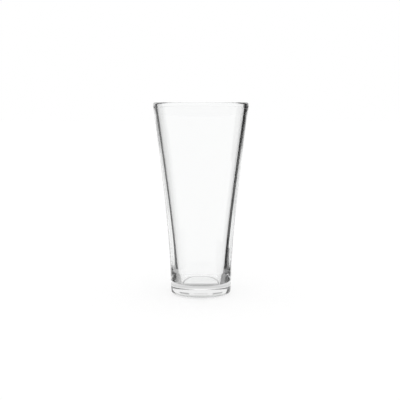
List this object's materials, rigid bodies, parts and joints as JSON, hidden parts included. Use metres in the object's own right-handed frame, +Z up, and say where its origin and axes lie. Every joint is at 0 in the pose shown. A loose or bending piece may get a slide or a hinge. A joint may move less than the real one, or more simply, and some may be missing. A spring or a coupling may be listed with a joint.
{
  "type": "water glass",
  "caption": "Clear flared water glass with a heavy solid base, a tapering wall and a rounded rim, open at the top to hold a drink.",
  "frame": {"origin": "middle of the bottom, on the table plane under the bearing ring", "axes": "+Z up along the axis of the glass, from the base to the mouth; the glass is round, so X and Y are free"},
  "size_m": [0.079, 0.079, 0.16],
  "materials": {
    "clear_glass": "clear, fire-polished, glossy"
  },
  "bodies": {
    "root": {"base": "clear_glass", "wall": "clear_glass", "rim": "clear_glass"}
  },
  "joints": []
}
